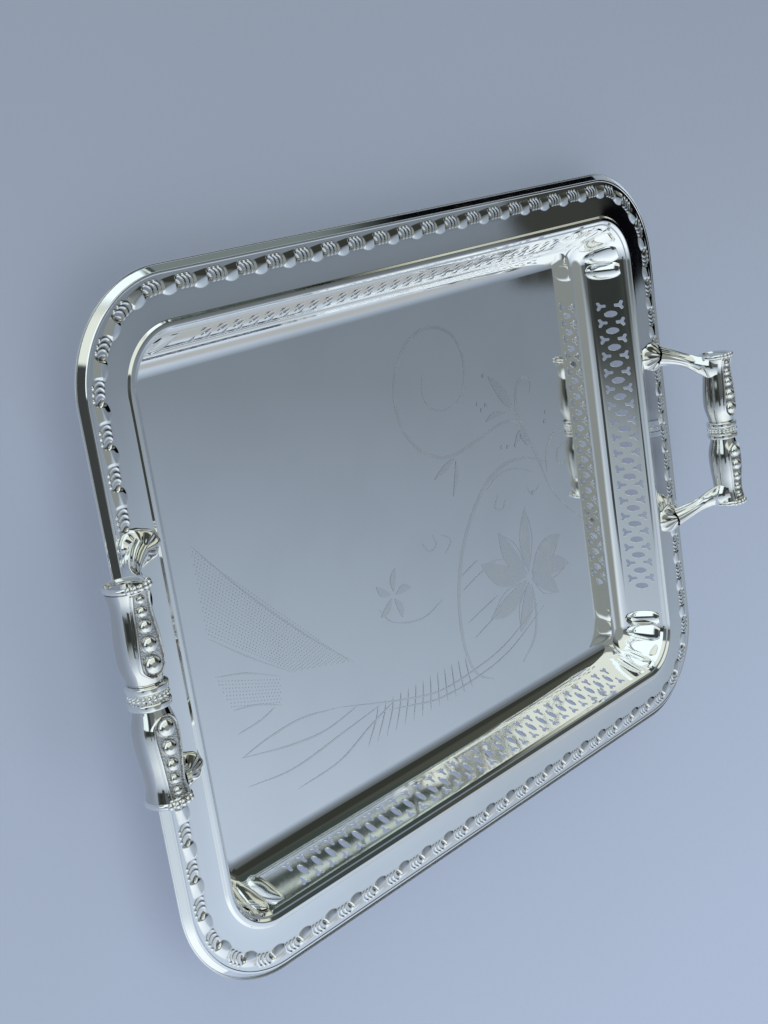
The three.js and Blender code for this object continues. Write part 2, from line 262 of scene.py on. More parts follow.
def silver(name, tone, polish, wave, grain=0.0):
    """Silver plate. tone is its colour, polish its roughness, wave how wavy the sheet is."""
    material, tree = new_material(name)
    place = put(tree, "TexCoord").outputs["Object"]
    cloud = put(tree, "TexNoise", {"Vector": place, "Scale": 22.0, "Detail": 5.0}).outputs[0]
    smear = put(tree, "TexNoise", {"Vector": place, "Scale": 90.0, "Detail": 3.0}).outputs[0]
    # The recess attribute paints shade and tarnish into hollows and under parts: it darkens the colour and
    # roughens it.
    recess = put(tree, "Attribute", attribute_name="recess").outputs["Fac"]
    dulled = tuple(0.975 * part for part in tone)
    colour = blend_colour(tree, ramp(tree, cloud, 0.42, 0.68), tone, dulled)
    colour = blend_colour(tree, ramp(tree, recess, 0.0, 1.0), colour, TARNISH_AND_SHADE)
    stretched = put(tree, "Mapping", {0: place, "Scale": (1.0, 14.0, 5.0)}).outputs[0]
    scratch = put(tree, "TexNoise", {"Vector": stretched, "Scale": 420.0, "Detail": 4.0}).outputs[0]
    rough = calc(tree, "ADD", polish, calc(tree, "MULTIPLY", ramp(tree, smear, 0.35, 0.75), polish * 0.9))
    rough = calc(tree, "ADD", rough, calc(tree, "MULTIPLY", recess, 0.16))
    swell = put(tree, "TexNoise", {"Vector": place, "Scale": 14.0, "Detail": 1.0}).outputs[0]
    wavy = put(tree, "Bump", {"Height": swell, "Strength": 1.0, "Distance": wave}).outputs[0]
    fine = {"Height": scratch, "Strength": 0.06, "Distance": 0.00002, "Normal": wavy}
    normal = put(tree, "Bump", fine).outputs[0]
    if grain:
        specks = put(tree, "TexVoronoi", {"Vector": place, "Scale": 1500.0}).outputs[0]
        stipple = put(tree, "Attribute", attribute_name="stipple").outputs["Fac"]
        height = calc(tree, "MULTIPLY", specks, stipple)
        grainy = {"Height": height, "Strength": 1.0, "Distance": grain, "Normal": normal}
        normal = put(tree, "Bump", grainy).outputs[0]
    shader = put(tree, "BsdfPrincipled", {
        "Base Color": colour, "Metallic": 1.0, "Roughness": rough, "Normal": normal,
    })
    output = put(tree, "OutputMaterial")
    tree.links.new(shader.outputs[0], output.inputs[0])
    return material


SHEET_SILVER = silver("sheet_silver_plate", (0.95, 0.955, 0.95), 0.030, 0.000008)
CAST_SILVER = silver("cast_silver_plate", (0.88, 0.88, 0.86), 0.028, 0.00002, grain=0.00012)
CUT_SILVER = silver("engraved_silver", (0.85, 0.86, 0.855), 0.22, 0.00002)
NICKEL = silver("nickel_fixings", (0.66, 0.64, 0.60), 0.22, 0.00002)


# Painted light falloff: the paper's colour is lighter towards -Y and darker towards +Y.
PAPER_LIT = (0.338, 0.390, 0.510)  # towards -Y
PAPER_SHADED = (0.212, 0.242, 0.296)
PAPER_CLOUD = (0.268, 0.308, 0.392)
PAPER_HALF = 6.0  # metres
PAPER_DROP = 0.0002


def make_floor():
    material, tree = new_material("paper_floor")
    place = put(tree, "TexCoord").outputs["Object"]
    axes = put(tree, "SeparateXYZ", {0: place}).outputs
    fibre = put(tree, "TexNoise", {"Vector": place, "Scale": 240.0, "Detail": 6.0}).outputs[0]
    cloud = put(tree, "TexNoise", {"Vector": place, "Scale": 2.2, "Detail": 2.0}).outputs[0]
    # Painted light: lighter towards -Y, darker towards +Y.
    sweep = ramp(tree, axes[1], -0.55, 0.45)
    colour = blend_colour(tree, sweep, PAPER_LIT, PAPER_SHADED)
    colour = blend_colour(tree, ramp(tree, cloud, 0.3, 0.7, 0.0, 0.12), colour, PAPER_CLOUD)
    bump = put(tree, "Bump", {"Height": fibre, "Strength": 0.25, "Distance": 0.0004}).outputs[0]
    rough = ramp(tree, fibre, 0.2, 0.8, 0.55, 0.75)
    shader = put(tree, "BsdfPrincipled", {"Base Color": colour, "Roughness": rough, "Normal": bump})
    shader.inputs["Specular IOR Level"].default_value = 0.25
    # The paper glows with its own colour, a painted light that softens the shadow under the tray.
    tree.links.new(colour, shader.inputs["Emission Color"])
    shader.inputs["Emission Strength"].default_value = 0.6
    output = put(tree, "OutputMaterial")
    tree.links.new(shader.outputs[0], output.inputs[0])
    half = PAPER_HALF
    corners = [(-half, -half, 0), (half, -half, 0), (half, half, 0), (-half, half, 0)]
    mesh = bpy.data.meshes.new("floor")
    mesh.from_pydata(corners, [], [(0, 1, 2, 3)])
    mesh.materials.append(material)
    floor = bpy.data.objects.new("floor", mesh)
    floor.location.z = -PAPER_DROP
    bpy.context.scene.collection.objects.link(floor)


make_floor()

# ------------------------------------------------------------------ mesh helpers


class Skin:
    """Collects patches of surface, each with its own points, into one mesh."""

    def __init__(self):
        self.points = []
        self.faces = []
        self.recess = []
        self.stipple = []
        self.normals = []
        self.count = 0

    def add(self, points, faces, recess=None, stipple=None, flip=False, normals=None):
        points = np.asarray(points, float).reshape(-1, 3)
        zero = np.zeros(len(points))
        self.points.append(points)
        self.normals.append(np.zeros_like(points) if normals is None else normals)
        self.recess.append(zero if recess is None else np.asarray(recess, float).ravel())
        self.stipple.append(zero if stipple is None else np.asarray(stipple, float).ravel())
        for face in faces:
            shifted = [int(i) + self.count for i in face]
            self.faces.append(shifted[::-1] if flip else shifted)
        self.count += len(points)

    def grid(self, points, closed=False, recess=None, stipple=None, flip=False):
        """points has shape rows x columns x 3. closed joins the last column to the first."""
        rows, columns = points.shape[:2]
        index = np.arange(rows * columns).reshape(rows, columns)
        if closed:
            index = np.concatenate([index, index[:, :1]], axis=1)
        quads = np.stack([index[:-1, :-1], index[:-1, 1:], index[1:, 1:], index[1:, :-1]], axis=-1)
        self.add(points, quads.reshape(-1, 4), recess, stipple, flip)

    def build(self, name, material, slot, nodes, change=None, mirrored=False):
        """Makes the piece, rides it on the part and lets it stand for the CAD nodes named."""
        points = np.concatenate(self.points)
        if change is not None:
            points = points @ np.array(change.to_3x3()).T + np.array(change.translation)
        faces = [face[::-1] for face in self.faces] if mirrored else self.faces
        mesh = bpy.data.meshes.new(name)
        mesh.from_pydata((points * MM).tolist(), [], faces)
        mesh.update()
        mesh.shade_smooth()
        for label, values in (("recess", self.recess), ("stipple", self.stipple)):
            layer = mesh.attributes.new(label, "FLOAT", "POINT")
            layer.data.foreach_set("value", np.concatenate(values).astype(np.float32))
        normals = np.concatenate(self.normals)
        if normals.any():
            mesh.normals_split_custom_set_from_vertices(normals.tolist())
        mesh.materials.append(material)
        piece = bpy.data.objects.new(name, mesh)
        bpy.context.scene.collection.objects.link(piece)
        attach(piece, "root")
        if nodes:
            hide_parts(*nodes)
        return piece


def ridge(distance, half_width):
    """Height, 0 to 1, of a half-round ridge at a distance from its centre line."""
    return np.sqrt(np.clip(1 - (distance / half_width) ** 2, 0, 1))


def ease(value, low, high):
    share = np.clip((value - low) / (high - low), 0, 1)
    return share * share * (3 - 2 * share)


def spline(points, count):
    """count points along a Catmull-Rom curve through the given ones."""
    knots = np.asarray(points, float)
    padded = np.vstack([2 * knots[0] - knots[1], knots, 2 * knots[-1] - knots[-2]])
    along = np.linspace(0, len(knots) - 1, count)
    start = np.minimum(along.astype(int), len(knots) - 2)
    t = (along - start)[:, None]
    a, b, c, d = (padded[start + k] for k in range(4))
    square = 2 * a - 5 * b + 4 * c - d
    cube = 3 * b - a - 3 * c + d
    return 0.5 * (2 * b + (c - a) * t + square * t**2 + cube * t**3)


def rounded(points, radii, steps=6):
    """A section line whose inner corners are arcs of the given radii; a radius of 0 keeps the corner."""
    line = [np.array(points[0], float)]
    for before, corner, after, radius in zip(points, points[1:], points[2:], radii):
        corner = np.array(corner, float)
        if radius == 0:
            line.append(corner)
            continue
        first = np.array(before, float) - corner
        second = np.array(after, float) - corner
        first /= np.linalg.norm(first)
        second /= np.linalg.norm(second)
        half_angle = math.acos(np.clip(first @ second, -1, 1)) / 2
        middle = (first + second) / np.linalg.norm(first + second)
        centre = corner + middle * radius / math.sin(half_angle)
        start = corner + first * radius / math.tan(half_angle) - centre
        end = corner + second * radius / math.tan(half_angle) - centre
        turn = math.pi - 2 * half_angle
        for k in range(steps + 1):
            share = k / steps
            weight_start = math.sin((1 - share) * turn) / math.sin(turn)
            weight_end = math.sin(share * turn) / math.sin(turn)
            line.append(centre + start * weight_start + end * weight_end)
    line.append(np.array(points[-1], float))
    return np.array(line)


def section_normals(line):
    """Unit normals of a section line on its left-hand side, which is upwards for one running inwards."""
    along = np.gradient(line, axis=0)
    along /= np.linalg.norm(along, axis=1)[:, None]
    return np.stack([-along[:, 1], along[:, 0]], axis=1)


# ------------------------------------------------------------------ the tray's outline

BAND_MIDDLE = 7.0  # inset at which lengths round the outline are measured
STRAIGHT_X = 2 * (HALF_LENGTH - CORNER_RADIUS)
STRAIGHT_Y = 2 * (HALF_WIDTH - CORNER_RADIUS)
ARC = (CORNER_RADIUS - BAND_MIDDLE) * math.pi / 2
OUTLINE = 2 * STRAIGHT_X + 2 * STRAIGHT_Y + 4 * ARC


def outline(length):
    """Base points and outward directions at lengths round the outline, anticlockwise from +X."""
    length = np.asarray(length, float)
    base = np.zeros((*length.shape, 2))
    outward = np.zeros((*length.shape, 2))
    place = (length + STRAIGHT_Y / 2) % OUTLINE
    half_x = STRAIGHT_X / 2
    half_y = STRAIGHT_Y / 2
    sides = [
        (STRAIGHT_Y, (1, 0), (half_x, -half_y)),
        (STRAIGHT_X, (0, 1), (half_x, half_y)),
        (STRAIGHT_Y, (-1, 0), (-half_x, half_y)),
        (STRAIGHT_X, (0, -1), (-half_x, -half_y)),
    ]
    start = 0.0
    for run, (nx, ny), (cx, cy) in sides:
        on_side = (place >= start) & (place <= start + run)
        along = (place - start)[on_side]
        base[on_side] = np.stack([cx - ny * along, cy + nx * along], axis=-1)
        outward[on_side] = (nx, ny)
        start += run
        on_arc = (place > start) & (place < start + ARC)
        angle = (place - start)[on_arc] / ARC * math.pi / 2
        corner = (cx - ny * run, cy + nx * run)
        base[on_arc] = corner
        outward[on_arc] = np.stack([
            nx * np.cos(angle) - ny * np.sin(angle), ny * np.cos(angle) + nx * np.sin(angle),
        ], axis=-1)
        start += ARC
    return base, outward


def sweep(line, lengths, lift=0.0, relief=None):
    """Carries a section line round the outline. lift moves it along its normal, as does relief."""
    base, outward = outline(lengths)
    normals = section_normals(line)
    rise = np.zeros((len(line), len(lengths))) + lift
    if relief is not None:
        rise = rise + relief
    inset = line[:, :1] + normals[:, :1] * rise
    height = RIM_TOP + line[:, 1:] + normals[:, 1:] * rise
    reach = (CORNER_RADIUS - inset)[..., None]
    flat = base[None] + outward[None] * reach
    return np.concatenate([flat, height[..., None]], axis=-1)


# ------------------------------------------------------------------ pressed section: inset, height from rim

BAND_START = 1.4
BAND_END = 11.3
WALL_TOP = (26.4, -2.3)
WALL_FOOT = (34.2, -20.4)
WALL_RUN = np.array(WALL_FOOT) - np.array(WALL_TOP)
WALL_LENGTH = float(np.linalg.norm(WALL_RUN))
WALL_SLOPE = WALL_RUN / WALL_LENGTH
PIERCED_TOP = 1.6  # from WALL_TOP down the slope to where the pierced panels start
PIERCED_FOOT = 18.6
FLOOR_EDGE = 45.2
FLOOR_START = FLOOR_EDGE + 0.5  # inset at which the cove hands over to the floor

skirt_line = rounded(
    [
        (-SKIRT_OUT, -SKIRT_DOWN), (-2.75, -2.6), (-0.35, -0.25), (-0.1, 0.2), (0.7, 0.22), (1.0, 0),
        (BAND_START, 0),
    ],
    [0.2, 0.15, 0.25, 0.25, 0.15], 5)
skirt_under = rounded([(-SKIRT_OUT, -SKIRT_DOWN), (0, 0), (BAND_START, 0)], [1.1], 7)
band_insets = np.linspace(BAND_START, BAND_END, 45)
band_line = np.stack([band_insets, 0 * band_insets], axis=1)

WALL_HOLLOW = 0.2  # how far the wall bows away from the well, halfway down
WALL_NORMAL = np.array([-WALL_SLOPE[1], WALL_SLOPE[0]])


def wall_points(run):
    """Points of the wall's slightly hollow section at runs down from WALL_TOP."""
    run = np.asarray(run, float)[..., None]
    share = run / WALL_LENGTH
    return np.array(WALL_TOP) + WALL_SLOPE * run - WALL_NORMAL * 4 * WALL_HOLLOW * share * (1 - share)


def wall_normals(run):
    """Unit normals of that section, on the side of the well."""
    lean = np.asarray(run, float)[..., None] / WALL_LENGTH * 2 - 1
    normal = WALL_NORMAL - WALL_SLOPE * 4 * WALL_HOLLOW / WALL_LENGTH * lean
    return normal / np.linalg.norm(normal, axis=-1, keepdims=True)


def wall_point(run):
    return tuple(wall_points(run))


rim_line = rounded(
    [
        (BAND_END, 0), (12.8, 0), (19.9, 0), (20.9, 1.05), (23.0, BEAD_RISE - 0.1), (24.2, -0.2),
        (25.1, -0.4), wall_point(-0.3), wall_point(PIERCED_TOP - 0.5), wall_point(PIERCED_TOP),
    ],
    [0, 0.4, 0.5, 0.9, 0.3, 0.3, 0.8, 0], 6)
COVE_RADIUS = 12.8
cove_corner = wall_point(PIERCED_FOOT + (FLOOR_DEPTH + wall_point(PIERCED_FOOT)[1]) / -WALL_SLOPE[1])
cove_line = rounded(
    [
        wall_point(PIERCED_FOOT), wall_point(PIERCED_FOOT + 0.4), cove_corner, (FLOOR_EDGE, -FLOOR_DEPTH),
        (FLOOR_START, -FLOOR_DEPTH),
    ],
    [0, COVE_RADIUS, 0], 24)

# ------------------------------------------------------------------ embossed border

MOTIFS = 76
PITCH = OUTLINE / MOTIFS
MOTIF_START = 0.5  # length round the outline at which a motif starts
RIB_COUNT = 3
RIB_STEP = 2.4
RIB_OUTER = 3.0  # inset of the ball at a rib's outer end
RIB_INNER = 8.5
LEAF_START = 9.1
LEAF_END = 17.6
BALL_START = 2.8  # from the motif's start to its first ball
BALL_RADIUS = 0.58
BALL_HEIGHT = 0.52
EYE_MIDDLE = (8.7, 6.2)  # from the motif's start, and inset
EYE_HALF_LENGTH = 2.1
EYE_HALF_WIDTH = 0.95
EYE_DEPTH = 0.8
GROUND_SHADE = 0.16


def border_relief(lengths, insets):
    """Height of the embossed pattern and how deep in shadow it lies; rows are insets."""
    x = ((lengths - MOTIF_START) % PITCH)[None, :]
    q = insets[:, None]
    height = np.zeros((len(insets), len(lengths)))
    # Thin hooked ribs, each from a ball at its outer end over to a thicker inner end.
    run = (q - RIB_OUTER) / (RIB_INNER - RIB_OUTER)
    share = np.clip(run, 0, 1)
    bow = -8.6 * share + 7.2 * share**2
    slant = (-8.6 + 14.4 * share) / (RIB_INNER - RIB_OUTER)
    for k in range(RIB_COUNT):
        ball_x = BALL_START + RIB_STEP * k
        across = (x - ball_x - bow) / np.sqrt(1 + slant**2)
        rib = (0.23 + 0.09 * share) * ridge(across, 0.37 + 0.17 * share)
        rib = rib * ease(run, -0.05, 0.08) * ease(1.06 - run, 0, 0.12)
        ball = BALL_HEIGHT * ridge(np.hypot(x - ball_x, q - RIB_OUTER), BALL_RADIUS)
        height = np.maximum(height, np.maximum(rib, ball))
    # A smooth leaf creased along a slanting line: broad beside the ribs, narrow at the next ones.
    along = np.clip((x - LEAF_START) / (LEAF_END - LEAF_START), 0, 1)
    inner = 8.8 + 1.4 * np.sin(math.pi * along)
    outer = 2.5 + 0.8 * along
    crease = 5.7 + 2.3 * along**2
    down_in = (q - crease) / (inner - crease)
    down_out = (crease - q) / (crease - outer)
    leaf = np.clip(1 - np.clip(np.maximum(down_in, down_out), 0, 1) ** 1.5, 0, 1)
    ends = ease(x, LEAF_START - 0.2, LEAF_START + 1.3) * ease(LEAF_END + 0.2 - x, 0, 1.6)
    leaf = leaf * (0.95 - 0.25 * along) * ends
    height = np.maximum(height, leaf)
    # An eye-shaped pit where the leaf springs from the ribs.
    eye_x = x - EYE_MIDDLE[0]
    eye_q = q - EYE_MIDDLE[1]
    eye_long = (eye_q * 0.78 - eye_x * 0.63) / EYE_HALF_LENGTH
    eye_wide = (eye_q * 0.63 + eye_x * 0.78) / EYE_HALF_WIDTH
    eye = np.clip(1 - eye_long**2 - eye_wide**2, 0, 1)
    height = height * (1 - ease(eye, 0, 0.3)) - EYE_DEPTH * ease(eye, 0, 0.9)
    # Painted shade and tarnish on the sunk ground between the ribs, and in the eye pit.
    ground = ease(q, 1.9, 3.0) * ease(10.6 - q, 0, 1.2) * ease(9.4 - x, 0, 1.0)
    recess = np.clip(ground * (1 - height / 0.3) * GROUND_SHADE, 0, 1) + ease(eye, 0.1, 0.5)
    return height, np.clip(recess, 0, 1)


# ------------------------------------------------------------------ corner flutes

FLUTE_RISE = 1.45
FLUTES_PER_CORNER = 3
FLUTE_MIDDLE = 11.2  # from the wall's top down to the middle of a flute
FLUTE_HALF_LENGTH = 10.6
FAINT_FLUTE = 0.35  # share of the full rise on the long walls' side of a corner
SIDE_FLUTE_GAP = 4.4  # centre of the flute on each straight wall, before the corner starts
SIDE_FLUTE_HALF = 4.6


def flute_relief(lengths, runs):
    """Swelling of the corner flutes at lengths round the outline and runs down the wall."""
    place = (np.asarray(lengths) + STRAIGHT_Y / 2) % OUTLINE
    height = np.zeros((len(runs), len(lengths)))
    along = (np.asarray(runs) - FLUTE_MIDDLE)[:, None] / FLUTE_HALF_LENGTH
    start = 0.0
    for side, run in enumerate((STRAIGHT_Y, STRAIGHT_X, STRAIGHT_Y, STRAIGHT_X)):
        start += run
        flutes = [(start + ARC * (k + 0.5) / FLUTES_PER_CORNER, ARC / FLUTES_PER_CORNER / 2, 1.0)
                  for k in range(FLUTES_PER_CORNER)]
        short_first = side % 2 == 0
        flutes.append((start - SIDE_FLUTE_GAP, SIDE_FLUTE_HALF, 1.0 if short_first else FAINT_FLUTE))
        flutes.append((start + ARC + SIDE_FLUTE_GAP, SIDE_FLUTE_HALF, FAINT_FLUTE if short_first else 1.0))
        for middle, half, strength in flutes:
            away = (place - middle + OUTLINE / 2) % OUTLINE - OUTLINE / 2
            across = np.abs(away / half)[None, :]
            dome = np.clip(1 - across**2 - np.abs(along) ** 2.8, 0, 1) ** 0.75
            height = np.maximum(height, FLUTE_RISE * strength * dome)
        start += ARC
    return height


# ------------------------------------------------------------------ piercing

OVAL_HALF = (1.8, 3.8)
TREFOIL_BASE = 7.4
TREFOIL_POINT = 2.5
TREFOIL_HALF = 2.35
TREFOIL_LOBE = 0.85
TREFOIL_DEPTH = 1.35  # from the base to the middle of the hole
TREFOIL_HOLLOW = 0.45  # how far its sides draw in
LOBE_SWEEP = 1.25  # half of a lobe's arc, in radians
CHAMFER = 0.14
EDGE_SHADE = 0.35  # how far painted shade and tarnish darken the sawn edges of the holes
ROW_MIDDLE = WALL_LENGTH / 2


def oval_loop(grow):
    angle = np.linspace(0, 2 * math.pi, 28, endpoint=False)
    half_x, half_y = (half + grow for half in OVAL_HALF)
    return np.stack([half_x * np.cos(angle), half_y * np.sin(angle)], axis=1)


def trefoil_loop(side, grow):
    """A hole with three round lobes and hollow sides, one lobe pointing at the row's middle."""
    tips = [(-TREFOIL_HALF, TREFOIL_BASE), (0, TREFOIL_POINT), (TREFOIL_HALF, TREFOIL_BASE)]
    corners = [np.array([x, side * y]) for x, y in tips]
    middle = np.array([0, side * (TREFOIL_BASE - TREFOIL_DEPTH)])
    loop = []
    for k, corner in enumerate(corners):
        outward = (corner - middle) / np.linalg.norm(corner - middle)
        centre = corner - outward * TREFOIL_LOBE
        heading = math.atan2(outward[1], outward[0])
        for step in np.linspace(-LOBE_SWEEP, LOBE_SWEEP, 7):
            angle = heading + side * step
            loop.append(centre + (TREFOIL_LOBE + grow) * np.array([math.cos(angle), math.sin(angle)]))
        following = corners[(k + 1) % 3]
        waist = (corner + following) / 2
        inward = (middle - waist) / np.linalg.norm(middle - waist)
        hollow = waist + inward * (TREFOIL_HOLLOW - grow)
        loop.append(hollow)
    loop = np.array(loop)
    area = np.sum(loop[:, 0] * np.roll(loop[:, 1], -1) - np.roll(loop[:, 0], -1) * loop[:, 1])
    return loop if area > 0 else loop[::-1]


def wall_holes(ovals, pitch, ends):
    """(shape, offset along the wall) of every hole; ends says which ends finish on a trefoil pair."""
    holes = []
    for k in range(ovals):
        holes.append((oval_loop, (k - (ovals - 1) / 2) * pitch))
    for k in range(ovals + 1):
        if (k == 0 and not ends[0]) or (k == ovals and not ends[1]):
            continue
        offset = (k - ovals / 2) * pitch
        holes.append((lambda grow: trefoil_loop(1, grow), offset))
        holes.append((lambda grow: trefoil_loop(-1, grow), offset))
    return holes


WALL_RUNS = np.linspace(PIERCED_TOP, PIERCED_FOOT, 40)


def inside_loop(points, loop):
    """Which points lie inside a closed loop, by counting the edges to their right."""
    inside = np.zeros(len(points), bool)
    near = np.all((points > loop.min(axis=0)) & (points < loop.max(axis=0)), axis=1)
    x, y = points[near].T
    crossings = np.zeros(near.sum(), int)
    for (ax, ay), (bx, by) in zip(loop, np.roll(loop, -1, axis=0)):
        spans = (ay > y) != (by > y)
        if ay != by:
            crossings += spans & (x < ax + (y - ay) / (by - ay) * (bx - ax))
    inside[near] = crossings % 2 == 1
    return inside


def wall_panel(skin, middle_length, half_run, holes):
    """A straight pierced stretch of wall, both faces and the edges of its holes."""
    down = [(half_run, run) for run in WALL_RUNS]
    border = down + [(-x, run) for x, run in reversed(down)]

    def lay(flat, depth):
        flat = np.asarray(flat, float).reshape(-1, 2)
        normal = wall_normals(flat[:, 1])
        line = wall_points(flat[:, 1]) - normal * depth
        base, outward = outline(middle_length + flat[:, 0])
        across = base + outward * (CORNER_RADIUS - line[:, :1])
        laid = np.concatenate([across, RIM_TOP + line[:, 1:]], axis=1)
        return laid, np.concatenate([-outward * normal[:, :1], normal[:, 1:]], axis=1)

    loops = [shape(CHAMFER) * (1, -1) + (offset, ROW_MIDDLE) for shape, offset in holes]
    points = [Vector(c) for c in border]
    edges = []
    for loop in [border, *loops]:
        first = len(points) if edges else 0
        points.extend(Vector(p) for p in (loop if edges else []))
        edges.extend((first + k, first + (k + 1) % len(loop)) for k in range(len(loop)))
    flat, _, faces, *_ = delaunay_2d_cdt(points, edges, [], 1, 1e-5)
    flat = np.array([tuple(p) for p in flat])
    faces = np.array(faces)
    middles = flat[faces].mean(axis=1)
    open_space = np.zeros(len(faces), bool)
    for loop in loops:
        open_space |= inside_loop(middles, loop)
    faces = faces[~open_space]
    for depth, flip in ((0.0, False), (SHEET, True)):
        laid, normals = lay(flat, depth)
        skin.add(laid, faces, flip=flip, normals=-normals if flip else normals)
    for shape, offset in holes:
        rings = []
        for depth, grow in ((0.0, CHAMFER), (CHAMFER, 0.0), (SHEET - CHAMFER, 0.0), (SHEET, CHAMFER)):
            loop = shape(grow) * (1, -1) + (offset, ROW_MIDDLE)
            rings.append(lay(loop, depth)[0])
        for upper, lower in zip(rings, rings[1:]):
            # Painted shade and tarnish on the sawn edges of the holes.
            dulled = np.full(2 * len(upper), EDGE_SHADE)
            skin.grid(np.stack([upper, lower]), closed=True, recess=dulled, flip=True)


# ------------------------------------------------------------------ the pressed body

SHORT_OVALS = 18
LONG_OVALS = 28
SHORT_PITCH = 9.84
LONG_PITCH = 9.55
PANEL_MARGIN = 6.6
# For each wall in turn from +X: how far its row of holes is shifted, and which ends have a trefoil pair.
WALL_ROWS = [(-2.2, (False, True)), (0.0, (True, True)), (2.2, (True, False)), (0.0, (True, True))]


def tray_body():
    skin = Skin()
    fine = np.linspace(0, OUTLINE, MOTIFS * 48, endpoint=False)
    coarse = np.linspace(0, OUTLINE, MOTIFS * 12, endpoint=False)
    relief, recess = border_relief(fine, band_line[:, 0])
    skin.grid(sweep(band_line, fine, relief=relief), closed=True, recess=recess)
    for line in (skirt_line, rim_line):
        skin.grid(sweep(line, coarse), closed=True)
    middle = np.array([(BAND_START, 0), (BAND_END, 0)])
    for line in (skirt_under, middle, rim_line):
        skin.grid(sweep(line, coarse, lift=-SHEET), closed=True, flip=True)
    hem_turn = np.linspace(0, math.pi, 7)
    edge = np.array(skirt_under[0])
    along = skirt_under[0] - skirt_under[1]
    along /= np.linalg.norm(along)
    down = np.array([along[1], -along[0]])
    centre = edge + down * SHEET / 2
    hem_line = np.array([
        centre - down * SHEET / 2 * math.cos(a) + along * SHEET / 2 * math.sin(a) for a in hem_turn
    ])
    skin.grid(sweep(hem_line, coarse), closed=True, flip=True)
    # Straight walls, pierced, with their coves; then the fluted corners between them.
    walls = []
    start = -STRAIGHT_Y / 2
    for side, run in enumerate((STRAIGHT_Y, STRAIGHT_X, STRAIGHT_Y, STRAIGHT_X)):
        short = side % 2 == 0
        ovals, pitch = (SHORT_OVALS, SHORT_PITCH) if short else (LONG_OVALS, LONG_PITCH)
        half = ovals * pitch / 2 + PANEL_MARGIN
        shift, ends = WALL_ROWS[side]
        holes = [(shape, offset + shift) for shape, offset in wall_holes(ovals, pitch, ends)]
        walls.append((start + run / 2, half, holes))
        start += run + ARC
    for middle_length, half, holes in walls:
        wall_panel(skin, middle_length, half, holes)
        lengths = np.array([middle_length - half, middle_length + half])
        skin.grid(sweep(cove_line, lengths))
        skin.grid(sweep(cove_line, lengths, lift=-SHEET), flip=True)
    line = np.vstack([wall_points(WALL_RUNS), cove_line[1:]])
    runs = np.concatenate([[0], np.cumsum(np.linalg.norm(np.diff(line, axis=0), axis=1))]) + PIERCED_TOP
    for k in range(4):
        first = walls[k][0] + walls[k][1]
        last = walls[(k + 1) % 4][0] - walls[(k + 1) % 4][1]
        if last < first:
            last += OUTLINE
        lengths = np.linspace(first, last, 280)
        relief = flute_relief(lengths, runs)
        skin.grid(sweep(line, lengths, relief=relief))
        skin.grid(sweep(line, lengths, lift=-SHEET, relief=relief), flip=True)
    # Well floor, both faces.
    for depth, flip in ((FLOOR_DEPTH, False), (FLOOR_DEPTH + SHEET, True)):
        base, outward = outline(coarse)
        level = np.full((len(coarse), 1), RIM_TOP - depth)
        ring = np.concatenate([base + outward * (CORNER_RADIUS - FLOOR_START), level], axis=1)
        skin.add(ring, [list(range(len(coarse)))], flip=flip)
    skin.build("tray_body_silver", SHEET_SILVER, "sheet_silver", ["tray_body"])


tray_body()

# ------------------------------------------------------------------ engraving on the well floor: x, y

WELL_TOP = RIM_TOP - FLOOR_DEPTH
CUT_LIFT = 0.03  # the frosted cuts lie this far above the polished floor
CUT_STEP = 0.0015  # and each a little above the one before
# Half width of the cut, and the points its curve runs through.
SCROLLS = [
    (1.0, [(22, 78), (20, 68), (25, 60), (38, 56), (52, 62), (56, 80), (48, 95), (30, 101), (12, 95),
           (0, 78), (0, 58), (10, 42), (25, 33), (40, 31), (60, 34), (84, 38), (97, 33), (105, 19),
           (112, 4), (119, -11), (131, -24), (147, -37)]),
    (1.1, [(113, 6), (103, 24), (96, 41), (98, 54), (105, 59), (111, 55), (109, 49)]),
    (0.9, [(116, 1), (118, 12), (126, 21), (138, 21)]),
    (0.8, [(137, 14), (130, 12), (127, 6), (131, 2), (137, 3)]),
    (1.3, [(115, 8), (98, 14), (80, 15), (62, 9), (45, -6), (32, -26), (25, -50), (25, -75), (32, -92),
           (45, -100)]),
    (0.5, [(104, 4), (90, 10), (74, 11), (60, 5)]),
    (0.9, [(89, -58), (90, -75), (85, -90), (72, -100)]),
    (0.6, [(108, -4), (100, -8), (96, -2)]),
    (0.6, [(70, 0), (66, -6), (72, -9), (76, -4)]),
    (0.5, [(3, -8), (8, -14), (14, -12), (12, -6)]),
    (0.5, [(19, -8), (26, -13), (20, -19)]),
]
FLOWER = (88.0, -54.0)
# Tip of each petal and its half width; they spring from FLOWER.
PETALS = [(92, -13, 4.6), (66, -21, 5.2), (48, -34, 6.0), (50, -66, 5.4), (74, -82, 5.0), (113, -71, 4.6),
          (126, -57, 5.4), (121, -38, 5.6)]
LEAVES = [
    (3.6, [(92, 44), (86, 53), (75, 66)]),
    (1.7, [(86, 43), (76, 44), (68, 42)]),
    (1.8, [(38, 29), (30, 26), (20, 22)]),
    (1.6, [(39, 28), (38, 20), (33, 9)]),
    (2.4, [(102, 20), (97, 28), (90, 23)]),
]
SMALL_FLOWER = (-24.0, -28.0)
SMALL_PETALS = 5
SMALL_REACH = 14.0
SMALL_HALF = 2.1
SMALL_BEND = 0.16  # how far a small petal's middle turns aside, in radians
BERRIES = [
    (71, 67), (63, 53), (66, 49), (70, 51), (84, 24), (91, 23), (79, 25), (122, 35), (120, 30), (101, -7),
]
BERRY_RADIUS = 1.2
